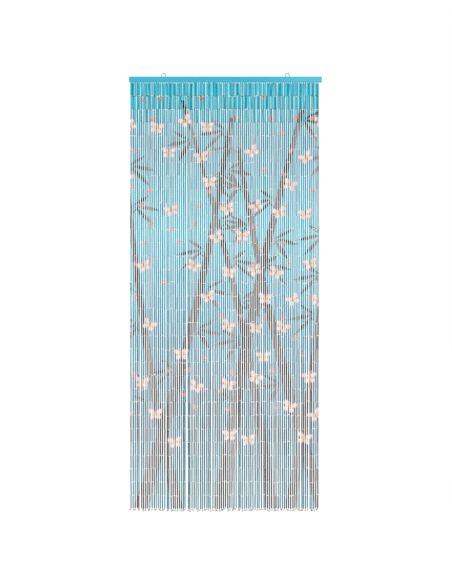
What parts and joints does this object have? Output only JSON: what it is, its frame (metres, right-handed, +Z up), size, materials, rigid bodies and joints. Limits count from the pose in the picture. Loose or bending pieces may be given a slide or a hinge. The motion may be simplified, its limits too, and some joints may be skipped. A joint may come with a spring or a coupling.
{
  "type": "bamboo strand door curtain with hanging rail",
  "caption": "Doorway curtain of painted bamboo tubes on hanging strands, with a slim painted wooden rail and wire hanging eyes.",
  "frame": {"origin": "centre of the rail's flat back face", "axes": "+X to the viewer's right along the rail, +Y out of the rail's back face towards the wall, +Z up"},
  "size_m": [0.9, 0.018, 2.0476],
  "materials": {
    "rail_paint": "painted turquoise, satin",
    "strand_paint": "painted bamboo, satin",
    "wire": "zinc-plated wire"
  },
  "bodies": {
    "root": {"rail": "rail_paint", "hanging_eye_left": "wire", "hanging_eye_right": "wire", "strands": "strand_paint"}
  },
  "joints": []
}
